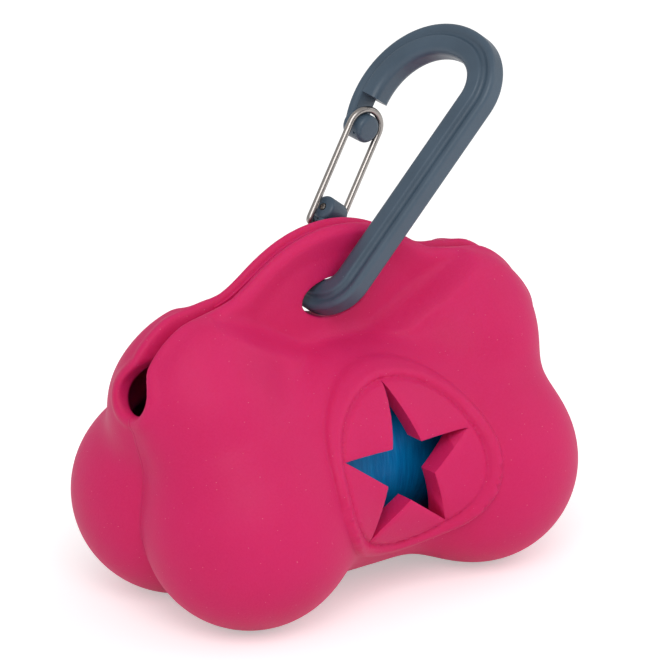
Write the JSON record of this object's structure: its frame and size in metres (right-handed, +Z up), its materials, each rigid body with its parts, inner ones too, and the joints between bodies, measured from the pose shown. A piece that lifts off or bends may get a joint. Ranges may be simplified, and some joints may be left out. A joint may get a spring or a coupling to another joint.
{
  "type": "dog poop bag dispenser",
  "caption": "Soft silicone pouch with lobed ends, slit along its top, that holds a roll of waste bags; a wire-gate snap clip hangs it from a leash.",
  "frame": {"origin": "middle of the footprint, on the surface that the pouch stands on", "axes": "+X along the pouch towards its right end seen from the star, +Y from the star panel to the back, +Z up"},
  "size_m": [0.09, 0.06, 0.0985],
  "materials": {
    "silicone": "matte",
    "clip_plastic": "satin",
    "gate_wire": "polished",
    "core_card": "matte card",
    "bag_film": "gloss film"
  },
  "bodies": {
    "pouch": {"silicone_pouch": "silicone"},
    "clip": {"clip_frame": "clip_plastic"},
    "gate": {"wire_gate": "gate_wire"},
    "roll": {"roll_core": "core_card", "bag_roll": "bag_film"}
  },
  "joints": [
    {"name": "clip_swing", "type": "hinge", "parent": "pouch", "child": "clip", "pos_m": [-0.002, 0, 0.0536], "axis": [0, 1, 0], "range_deg": [-97, 22.7]},
    {"name": "gate", "type": "hinge", "parent": "clip", "child": "gate", "pos_m": [0.00654, 0.00693, 0.06581], "axis": [0.7924, 0.0872, -0.6037], "range_deg": [0, 26], "stiffness_Nm_per_rad": 0.02, "springref_deg": -22.92},
    {"name": "roll_spin", "type": "hinge", "parent": "pouch", "child": "roll", "pos_m": [0, 0, 0.0236], "axis": [1, 0, 0], "continuous": true}
  ]
}
